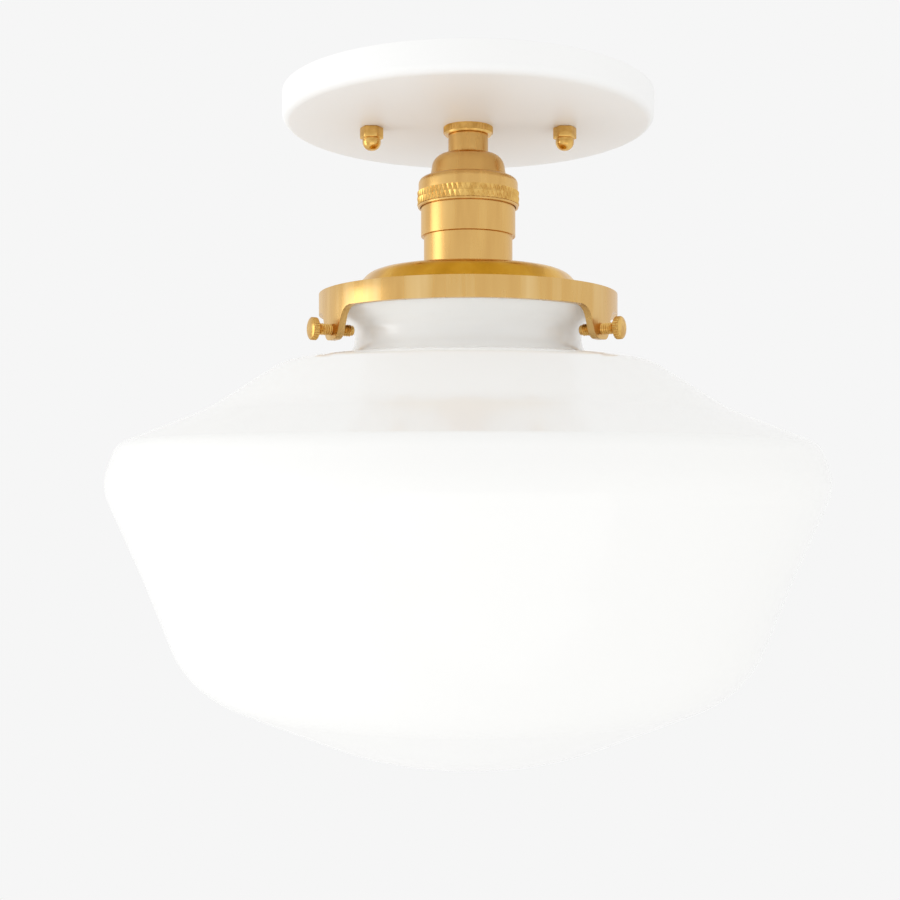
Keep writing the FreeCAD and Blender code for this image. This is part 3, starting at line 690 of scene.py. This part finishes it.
def apply_modifiers(made: bpy.types.Object) -> None:
    """Keeps the mesh that an object's modifiers make, and drops the modifiers."""
    graph = bpy.context.evaluated_depsgraph_get()
    graph.update()
    finished = bpy.data.meshes.new_from_object(made.evaluated_get(graph))
    made.modifiers.clear()
    made.data = finished


@dataclass
class Lampholder:
    """Turned brass lampholder: reeded check ring, cap with its knurl, and stepped shell."""

    finishes: Finishes
    ring_top: float = 10.7
    ring_height: float = 2.95
    ring_radius: float = 8.95
    ring_chamfer: float = 0.7
    ring_bore: float = 5.0
    ring_reeds: int = 44
    reed_depth: float = 0.3
    neck_radius: float = 7.2
    neck_length: float = 6.9
    dome_radius: float = 13.85
    dome_rounding: float = 4.8
    dome_height: float = 8.7
    shoulder_radius: float = 17.95
    shoulder_height: float = 5.2
    shoulder_rounding: float = 2.3
    knurl_radius: float = 18.45
    knurl_height: float = 4.65
    knurl_depth: float = 0.4
    knurl_diamonds: int = 64
    knurl_rows: int = 2
    lip_height: float = 0.9
    cap_wall: float = 1.1
    shell_radius: float = 17.05
    shell_upper: float = 10.4
    shell_lower: float = 12.95
    shell_lower_radius: float = 16.0
    thread_radius: float = 15.2
    thread_length: float = 9.0
    shell_wall: float = 0.7
    shell_tuck: float = 6.0
    shell_clearance: float = 0.25
    edge: float = 0.2
    fine_edge: float = 0.15
    soft_edge: float = 0.3
    neck_fillet: float = 0.8
    dome_inset: float = 1.4
    dome_ease: float = 0.6
    knurl_seat: float = 0.15
    knurl_skirt: float = 0.1
    cap_floor: float = 4.4
    cap_shelf: float = 3.4
    cap_corner: float = 1.0
    cap_slope: float = 1.4
    dome_top: float = field(init=False)

    def __post_init__(self) -> None:
        """Works out the depths that follow from the lengths."""
        self.ring_foot = self.ring_top + self.ring_height
        self.dome_top = self.ring_foot + self.neck_length
        self.dome_foot = self.dome_top + self.dome_height
        self.knurl_top = self.dome_foot + self.shoulder_height
        self.knurl_foot = self.knurl_top + self.knurl_height
        self.cap_foot = self.knurl_foot + self.lip_height
        self.step = self.cap_foot + self.shell_upper
        self.fitter_top = self.step + self.shell_lower

    def check_ring(self) -> None:
        """Builds the reeded ring against the canopy."""
        bm = turned([
            Corner(self.ring_bore, self.ring_top),
            Corner(self.ring_radius, self.ring_top),
            Corner(self.ring_radius, self.ring_foot - self.ring_chamfer),
            Corner(self.ring_radius - self.reed_depth, self.ring_foot - self.ring_chamfer),
            Corner(self.ring_radius - self.ring_chamfer, self.ring_foot, self.fine_edge),
            Corner(self.ring_bore, self.ring_foot),
        ], steps=2 * self.ring_reeds)
        crest = (self.ring_radius - self.reed_depth / 2) * MM
        for vertex in list(bm.verts):
            outside = math.hypot(vertex.co.x, vertex.co.y) > crest
            if outside and column_of(vertex, 2 * self.ring_reeds) % 2:
                sink(vertex, self.reed_depth)
        made = mesh_object(bm, "reeded_check_ring", [self.finishes.machined_brass], 20)
        enrol(made, "fixture", Slot.BRASS, "check_ring")

    def cap(self) -> None:
        """Builds the cap without its knurl band."""
        under_knurl = self.knurl_radius - self.knurl_depth - self.knurl_seat
        inside_top = self.dome_top + self.cap_floor
        bm = turned([
            Corner(self.ring_bore, self.ring_foot),
            Corner(self.neck_radius, self.ring_foot, self.soft_edge),
            Corner(self.neck_radius, self.dome_top, self.neck_fillet),
            Corner(self.dome_radius - self.dome_inset, self.dome_top + self.dome_ease,
                   self.dome_rounding),
            Corner(self.dome_radius, self.dome_foot, self.soft_edge),
            Corner(self.shoulder_radius, self.dome_foot, self.shoulder_rounding),
            Corner(self.shoulder_radius, self.knurl_top),
            Corner(under_knurl, self.knurl_top),
            Corner(under_knurl, self.knurl_foot),
            Corner(self.shoulder_radius + self.edge, self.knurl_foot, self.fine_edge),
            Corner(self.shoulder_radius + self.edge, self.cap_foot, self.soft_edge),
            Corner(self.shell_radius + self.shell_clearance, self.cap_foot, self.fine_edge),
            Corner(self.shell_radius + self.shell_clearance, self.cap_foot - self.shell_tuck),
            Corner(self.dome_radius - self.cap_wall, self.dome_foot + self.cap_slope,
                   self.cap_corner),
            Corner(self.ring_bore + self.cap_shelf, inside_top, self.cap_corner),
            Corner(self.ring_bore, inside_top),
        ], steps=144)
        made = mesh_object(bm, "lampholder_cap_body", [self.finishes.brass])
        enrol(made, "fixture", Slot.BRASS, "lampholder_cap")

    def knurl(self) -> None:
        """Builds the diamond knurl: a grid whose every other point is sunk to a groove."""
        bm = bmesh.new()
        inner = self.knurl_radius - self.knurl_depth - self.knurl_skirt
        places = [(inner, 0.0)]
        places += [(self.knurl_radius, row / self.knurl_rows) for row in range(self.knurl_rows + 1)]
        places += [(inner, 1.0)]
        line = [
            bm.verts.new((radius * MM, 0.0, -(self.knurl_top + share * self.knurl_height) * MM))
            for radius, share in places
        ]
        for upper, lower in zip(line, line[1:]):
            bm.edges.new((upper, lower))
        bm.edges.new((line[-1], line[0]))
        revolve(bm, 2 * self.knurl_diamonds)
        crest = (self.knurl_radius - self.knurl_depth / 2) * MM
        grooves = []
        for vertex in list(bm.verts):
            if math.hypot(vertex.co.x, vertex.co.y) < crest:
                continue
            below = -vertex.co.z / MM - self.knurl_top
            row = round(below / self.knurl_height * self.knurl_rows)
            if (row + column_of(vertex, 2 * self.knurl_diamonds)) % 2:
                grooves.append(vertex)
        bmesh.ops.connect_verts(bm, verts=grooves)
        for vertex in grooves:
            sink(vertex, self.knurl_depth)
        made = mesh_object(bm, "diamond_knurl_band", [self.finishes.machined_brass], 12)
        enrol(made, "fixture", Slot.BRASS)

    def shell(self) -> None:
        """Builds the shell with its step and the thread under the fitter."""
        inside = self.shell_radius - self.shell_wall
        thread_inside = self.thread_radius - self.shell_wall
        foot = self.fitter_top + self.thread_length
        top = self.cap_foot - self.shell_tuck
        bm = turned([
            Corner(self.shell_radius, top),
            Corner(self.shell_radius, self.step, self.edge),
            Corner(self.shell_lower_radius, self.step, self.edge),
            Corner(self.shell_lower_radius, self.fitter_top),
            Corner(self.thread_radius, self.fitter_top),
            Corner(self.thread_radius, foot),
            Corner(thread_inside, foot),
            Corner(thread_inside, self.step - self.shell_wall),
            Corner(inside, self.step - self.shell_wall),
            Corner(inside, top),
        ], steps=144)
        made = mesh_object(bm, "stepped_shell", [self.finishes.brass])
        enrol(made, "fixture", Slot.BRASS, "lampholder_shell")

    def build(self) -> None:
        """Builds every visible piece of the lampholder."""
        self.check_ring()
        self.cap()
        self.knurl()
        self.shell()


@dataclass
class Fitter:
    """Brass gallery that carries the shade, with its three thumbscrews."""

    finishes: Finishes
    top: float = 63.35
    wall: float = 1.5
    bore: float = 15.2
    dome_radius: float = 35.5
    dome_rounding: float = 8.0
    dome_base: float = 42.5
    dome_height: float = 8.45
    band_radius: float = 53.7
    band_wall: float = 2.6
    band_height: float = 7.4
    band_edge: float = 0.7
    foot_edge: float = 0.35
    flange_overlap: float = 0.3
    flange_fillet: float = 0.8
    inner_fillet: float = 0.5
    lug_drop: float = 10.9
    lug_root: float = 18.0
    lug_tip: float = 9.4
    lug_tip_rounding: float = 4.2
    lug_fillet: float = 6.0
    lug_angles: tuple[float, ...] = (-151.5, -31.5, 88.5)
    lug_names: tuple[str, ...] = ("left", "right", "back")
    slices: int = 144
    snap: float = 1e-6  # metres
    seam_gap: float = 1e-4  # metres
    screw_drop: float = 7.4
    screw_radius: float = 2.08
    thread_pitch: float = 0.794
    thread_depth: float = 0.35
    screw_length: float = 16.2
    head_radius: float = 3.9
    head_thickness: float = 2.6
    head_crown: float = 0.35
    head_standoff: float = 5.2
    head_reeds: int = 26
    reed_depth: float = 0.28
    reed_margin: float = 0.25
    crown_radius: float = 4.0
    crown_inset: float = 1.2
    crown_share: float = 0.1
    rim_drop: float = 0.35
    rim_rounding: float = 0.4
    head_edge: float = 0.2
    crest_rounding: float = 0.08
    tip_length: float = 1.0
    tip_rounding: float = 0.5

    def __post_init__(self) -> None:
        """Works out the depths that follow."""
        self.flange_top = self.top + self.dome_height
        self.band_foot = self.flange_top + self.band_height
        self.lug_foot = self.band_foot + self.lug_drop

    def dome(self) -> None:
        """Builds the raised dome and the flange round it."""
        inner_edge = self.band_radius - self.band_wall + self.flange_overlap
        foot = self.flange_top + self.wall
        bm = turned([
            Corner(self.bore, self.top),
            Corner(self.dome_radius, self.top, self.dome_rounding),
            Corner(self.dome_base, self.flange_top, self.flange_fillet),
            Corner(inner_edge, self.flange_top),
            Corner(inner_edge, foot),
            Corner(self.dome_base - self.wall, foot, self.inner_fillet),
            Corner(self.dome_radius - self.wall, self.top + self.wall,
                   self.dome_rounding - self.wall),
            Corner(self.bore, self.top + self.wall),
        ], steps=self.slices)
        # The dome's deeper gold is partly painted reflection of the brass round it.
        made = mesh_object(bm, "gallery_dome", [self.finishes.polished_brass_painted_reflection])
        enrol(made, "fixture", Slot.FITTER_BRASS)

    def strip_corners(self) -> list[Corner]:
        """Outline of the band and its lugs, laid flat: length round the band, and depth."""
        around = FULL_TURN * self.band_radius
        corners = [Corner(0, self.flange_top), Corner(around, self.flange_top),
                   Corner(around, self.band_foot)]
        middles = sorted((angle % 360) / 360 * around for angle in self.lug_angles)
        for middle in reversed(middles):
            corners += [
                Corner(middle + self.lug_root / 2, self.band_foot, self.lug_fillet),
                Corner(middle + self.lug_tip / 2, self.lug_foot, self.lug_tip_rounding),
                Corner(middle - self.lug_tip / 2, self.lug_foot, self.lug_tip_rounding),
                Corner(middle - self.lug_root / 2, self.band_foot, self.lug_fillet),
            ]
        return corners + [Corner(0, self.band_foot)]

    def band(self) -> None:
        """Builds the band and lugs as a flat strip, then bends it round the axis."""
        bm = bmesh.new()
        trace(bm, self.strip_corners())
        bmesh.ops.triangle_fill(bm, edges=bm.edges[:], use_beauty=True)
        around = FULL_TURN * self.band_radius * MM
        ends = self.seam_gap
        cuts = {round(around * cut / self.slices, 6) for cut in range(1, self.slices)}
        cuts |= {round(v.co.x, 6) for v in bm.verts if ends < v.co.x < around - ends}
        for cut in sorted(cuts):
            bmesh.ops.bisect_plane(
                bm, geom=bm.verts[:] + bm.edges[:] + bm.faces[:], dist=2 * self.snap,
                plane_co=Vector((cut, 0, 0)), plane_no=Vector((1, 0, 0)),
            )
        bmesh.ops.dissolve_limit(
            bm, angle_limit=0.001, verts=[], edges=[e for e in bm.edges if self.is_spare(e)]
        )
        outer = bmesh.ops.extrude_face_region(bm, geom=bm.faces[:])
        moved = [v for v in outer["geom"] if isinstance(v, bmesh.types.BMVert)]
        bmesh.ops.translate(bm, verts=moved, vec=Vector((0, self.band_wall * MM, 0)))
        seam = [f for f in bm.faces if abs(f.normal.x) > 0.99
                and not self.snap <= f.calc_center_median().x <= around - self.snap]
        bmesh.ops.delete(bm, geom=seam, context="FACES_ONLY")
        bmesh.ops.recalc_face_normals(bm, faces=bm.faces)
        self.soften(bm)
        self.bend(bm)
        bmesh.ops.remove_doubles(bm, verts=bm.verts, dist=self.snap)
        bmesh.ops.recalc_face_normals(bm, faces=bm.faces)
        made = mesh_object(bm, "gallery_band", [self.finishes.band_brass])
        enrol(made, "fixture", Slot.FITTER_BRASS, "shade_fitter")

    def is_spare(self, edge: bmesh.types.BMEdge) -> bool:
        """Tells a triangle's slanted edge from the upright cuts and the outline."""
        along = edge.verts[1].co - edge.verts[0].co
        return len(edge.link_faces) == 2 and abs(along.x) > self.snap

    def soften(self, bm: bmesh.types.BMesh) -> None:
        """Rounds the long edges of the flat strip."""
        rims = [e for e in bm.edges if len(e.link_faces) == 2 and e.calc_face_angle() > 1.0]
        top = [e for e in rims
               if all(abs(v.co.z + self.flange_top * MM) < self.snap for v in e.verts)
               and all(v.co.y > self.band_wall / 2 * MM for v in e.verts)]
        foot = [e for e in rims
                if all(v.co.z < -(self.flange_top + self.band_height / 2) * MM for v in e.verts)]
        for edges, size in ((top, self.band_edge), (foot, self.foot_edge)):
            bmesh.ops.bevel(
                bm, geom=edges, offset=size * MM, affect="EDGES", segments=3, profile=0.5,
                material=-1, clamp_overlap=True,
            )

    def bend(self, bm: bmesh.types.BMesh) -> None:
        """Bends the flat strip: its length becomes an angle and its thickness a radius."""
        inside = self.band_radius - self.band_wall
        for vertex in bm.verts:
            angle = vertex.co.x / MM / self.band_radius
            radius = inside * MM + vertex.co.y
            vertex.co.x = radius * math.cos(angle)
            vertex.co.y = radius * math.sin(angle)

    def thumbscrew(self, angle: float, name: str) -> None:
        """Builds one thumbscrew along its lug's direction.

        Args:
            angle: Direction of the lug in degrees from +X.
            name: Which lug it is in.
        """
        rod = self.screw_length - self.tip_length
        turns = int((rod - self.head_thickness) / self.thread_pitch)
        pitch = (rod - self.head_thickness) / turns
        root = self.screw_radius - self.thread_depth
        corners = [
            Corner(0, 0),
            Corner(self.head_radius - self.crown_inset, self.head_crown * self.crown_share,
                   self.crown_radius),
            Corner(self.head_radius, self.head_crown + self.rim_drop, self.rim_rounding),
            Corner(self.head_radius, self.head_thickness, self.head_edge),
        ]
        for turn in range(turns):
            valley = self.head_thickness + turn * pitch
            corners += [Corner(root, valley),
                        Corner(self.screw_radius, valley + pitch / 2, self.crest_rounding)]
        corners += [Corner(root, rod), Corner(root, self.screw_length, self.tip_rounding),
                    Corner(0, self.screw_length)]
        bm = turned(corners, steps=2 * self.head_reeds)
        crest = (self.head_radius - self.reed_margin) * MM
        for vertex in list(bm.verts):
            outside = math.hypot(vertex.co.x, vertex.co.y) > crest
            if outside and column_of(vertex, 2 * self.head_reeds) % 2:
                sink(vertex, self.reed_depth)
        outward = Vector((math.cos(math.radians(angle)), math.sin(math.radians(angle)), 0))
        face = self.band_radius + self.head_standoff + self.head_thickness
        place = outward * face * MM - UP * (self.band_foot + self.screw_drop) * MM
        turn_out = UP.rotation_difference(outward).to_matrix().to_4x4()
        bmesh.ops.transform(bm, matrix=Matrix.Translation(place) @ turn_out, verts=bm.verts)
        made = mesh_object(bm, f"reeded_thumbscrew_{name}", [self.finishes.machined_brass], 25)
        enrol(made, f"thumbscrew_{name}", Slot.BRASS, f"thumbscrew_{name}")

    def build(self) -> None:
        """Builds every piece of the fitter."""
        self.dome()
        self.band()
        for angle, name in zip(self.lug_angles, self.lug_names):
            self.thumbscrew(angle, name)


@dataclass
class Shade:
    """Opal glass schoolhouse globe."""

    finishes: Finishes
    lip_top: float = 73.6
    lip_foot: float = 78.82
    slope_foot: float = 84.22
    lip_radius: float = 49.2
    lip_rounding: float = 1.8
    neck_fillet: float = 6.0
    mouth_rounding: float = 1.0
    wall: float = 3.0
    steps: int = 192

    def outside(self) -> list[Corner]:
        """Outline of the outside, from the neck down to the middle of the bottom."""
        drops = [
            (41.0, 21.6, 7.5),
            (66.6, 1.2, 15.6),
            (93.0, 17.3, 54.5),
            (123.3, 12.3, 8.0),
            (128.3, 14.3, 16.0),
            (114.3, 32.1, 200.0),
            (99.9, 37.2, 34.8),
            (31.7, 29.8, 120.0),
        ]
        depth = self.lip_top
        corners = []
        for radius, drop, rounding in drops:
            depth += drop
            corners.append(Corner(radius, depth, rounding))
        return corners + [Corner(0, depth)]

    def inside(self, outside: list[Corner]) -> list[Corner]:
        """Outline of the inside: the outside moved in by the glass's thickness.

        Args:
            outside: The outside's corners, from the top of the neck down.

        Returns:
            The inside's corners, without the first and the last.
        """
        sides = []
        for upper, lower in zip(outside, outside[1:]):
            run = Vector((lower.radius - upper.radius, lower.depth - upper.depth))
            beside = Vector((-run.y, run.x)).normalized() * self.wall
            sides.append((Vector((upper.radius, upper.depth)) + beside, run))
        corners = []
        for (first, along), (second, across), corner in zip(sides, sides[1:], outside[1:]):
            turn = along.x * across.y - along.y * across.x
            gap = second - first
            place = first + along * ((gap.x * across.y - gap.y * across.x) / turn)
            thinner = -self.wall if turn > 0 else self.wall
            corners.append(Corner(place.x, place.y, corner.rounding + thinner))
        return corners

    def build(self) -> None:
        """Builds the globe."""
        outside = self.outside()
        neck = outside[0].radius
        inside = self.inside([Corner(neck, self.lip_top)] + outside)
        section = [
            Corner(self.lip_radius, self.lip_top, self.lip_rounding),
            Corner(self.lip_radius, self.lip_foot, self.lip_rounding),
            Corner(neck, self.slope_foot, self.neck_fillet),
            *outside,
            Corner(0, outside[-1].depth - self.wall),
            *reversed(inside),
            Corner(neck - self.wall, self.lip_top, self.mouth_rounding),
        ]
        bm = turned(section, self.steps, arc_step=3.0)
        made = mesh_object(bm, "opal_globe", [self.finishes.opal], 60)
        enrol(made, "shade", Slot.OPAL, "glass_shade")


@dataclass
class HiddenPieces:
    """CAD nodes whose shape is right: they keep their meshes and get a material."""

    finishes: Finishes

    def build(self, nodes: dict[str, bpy.types.Object]) -> None:
        """Gives each kept node its material.

        Args:
            nodes: The CAD nodes by name.
        """
        groups = {
            self.finishes.zinc: ("crossbar", "canopy_studs", "stud_lock_nuts", "nipple",
                                 "nipple_lock_nut", "nipple_lock_washer"),
            self.finishes.green: ("ground_screw",),
            self.finishes.machined_brass: ("cap_set_screw", "shade_ring", "terminal_screw_live",
                                           "centre_contact"),
            self.finishes.nickel: ("terminal_screw_neutral", "screw_shell", "bulb_base",
                                   "bulb_contact"),
            self.finishes.fibre: ("shell_liner",),
            self.finishes.porcelain: ("lampholder_insulator",),
            self.finishes.vitrite: ("bulb_insulator",),
            self.finishes.frost: ("bulb_envelope",),
        }
        for material, names in groups.items():
            for name in names:
                slots = nodes[name].material_slots
                if not slots:
                    nodes[name].data.materials.append(material)
                for slot in slots:
                    slot.material = material
                LOG.info("%s keeps its mesh in %s", name, material.name)


# ---- camera, lamps and background -----------------------------------------------------------


@dataclass
class Studio:
    """Level camera under the ceiling, two soft boxes and a white surround."""

    distance: float = 485.8
    height: float = 138.15
    focal_px: float = 1343.0
    image_px: float = 900.0
    sensor: float = 36.0
    axis_px: float = 468.2
    horizon_px: float = 480.0
    white: str = "F6F6F6"
    pale: str = "F0F0F0"
    ambient: float = 0.95
    aim_depth: float = 120.0
    floor_depth: float = 1100.0
    floor_half: float = 1200.0

    def camera(self) -> None:
        """Places the camera where the photograph was taken from."""
        data = bpy.data.cameras.new("camera")
        data.sensor_width = self.sensor
        data.lens = self.focal_px / self.image_px * self.sensor
        data.shift_x = -(self.axis_px - self.image_px / 2) / self.image_px
        data.shift_y = (self.horizon_px - self.image_px / 2) / self.image_px
        data.clip_start = 0.01
        camera = bpy.data.objects.new("camera", data)
        camera.location = Vector((0, -self.distance, -self.height)) * MM
        camera.rotation_euler = (math.radians(90), 0, 0)
        bpy.context.scene.collection.objects.link(camera)
        bpy.context.scene.camera = camera

    def seen_directly(self, tree: bpy.types.NodeTree) -> Any:
        """A factor that is 1 for camera, glossy and transmission rays."""
        rays = add_node(tree, "ShaderNodeLightPath").outputs
        total = rays["Is Camera Ray"]
        for name in ("Is Glossy Ray", "Is Transmission Ray"):
            total = add_node(
                tree, "ShaderNodeMath", {"operation": "MAXIMUM"}, {0: total, 1: rays[name]}
            ).outputs[0]
        return total

    def world(self) -> None:
        """Sets the white surround, which sheds a little less light than its own white."""
        world = bpy.data.worlds.new("surround")
        bpy.context.scene.world = world
        world.use_nodes = True
        tree = world.node_tree
        tree.nodes.clear()
        seen = add_node(tree, "ShaderNodeBackground", {"Color": linear(self.white)})
        shed = add_node(
            tree, "ShaderNodeBackground", {"Color": linear("FFFFFF"), "Strength": self.ambient}
        )
        mixed = add_node(
            tree, "ShaderNodeMixShader",
            links={0: self.seen_directly(tree), 1: shed.outputs[0], 2: seen.outputs[0]},
        )
        add_node(tree, "ShaderNodeOutputWorld", links={"Surface": mixed.outputs[0]})

    def floor(self) -> None:
        """Lays a pale floor far below the light."""
        bm = bmesh.new()
        bmesh.ops.create_grid(bm, x_segments=1, y_segments=1, size=self.floor_half * MM)
        bmesh.ops.translate(bm, verts=bm.verts, vec=Vector((0, 0, -self.floor_depth * MM)))
        material = bpy.data.materials.new("pale_floor")
        material.use_nodes = True
        tree = material.node_tree
        tree.nodes.clear()
        matt = add_node(tree, "ShaderNodeBsdfDiffuse", {"Color": linear(self.pale)})
        glow = add_node(tree, "ShaderNodeEmission", {"Color": linear(self.white), "Strength": 1.0})
        mixed = add_node(
            tree, "ShaderNodeMixShader",
            links={0: self.seen_directly(tree), 1: matt.outputs[0], 2: glow.outputs[0]},
        )
        add_node(tree, "ShaderNodeOutputMaterial", links={"Surface": mixed.outputs[0]})
        mesh_object(bm, "floor", [material])

    def lamp(self, name: str, place: Vector, width: float, height: float, watts: float) -> None:
        """Hangs a soft box that faces the shade.

        Args:
            name: The lamp's name.
            place: Where it hangs, in metres.
            width: Its width in metres.
            height: Its height in metres.
            watts: Its power.
        """
        data = bpy.data.lights.new(name, "AREA")
        data.shape = "RECTANGLE"
        data.size, data.size_y = width, height
        data.energy = watts
        lamp = bpy.data.objects.new(name, data)
        lamp.location = place
        lamp.visible_camera = False
        aim = -UP * self.aim_depth * MM - place
        lamp.rotation_euler = aim.to_track_quat("-Z", "Y").to_euler()
        bpy.context.scene.collection.objects.link(lamp)

    def build(self) -> None:
        """Builds the camera, the surround and the lamps."""
        bpy.context.scene.view_settings.view_transform = "Standard"
        self.camera()
        self.world()
        self.floor()
        self.lamp("key_left", Vector((-1.5, -0.12, -0.25)), 0.75, 1.1, 5.0)
        self.lamp("fill_front", Vector((0.15, -1.0, -0.75)), 1.4, 0.8, 1.6)


def main() -> None:
    """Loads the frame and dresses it."""
    logging.basicConfig(level=logging.INFO, format="%(name)s: %(message)s")
    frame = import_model()
    finishes = Finishes()
    HiddenPieces(finishes).build(frame["nodes"])
    Canopy(finishes).build()
    Lampholder(finishes).build()
    Fitter(finishes).build()
    Shade(finishes).build()
    Studio().build()


if __name__ == "__main__":
    main()
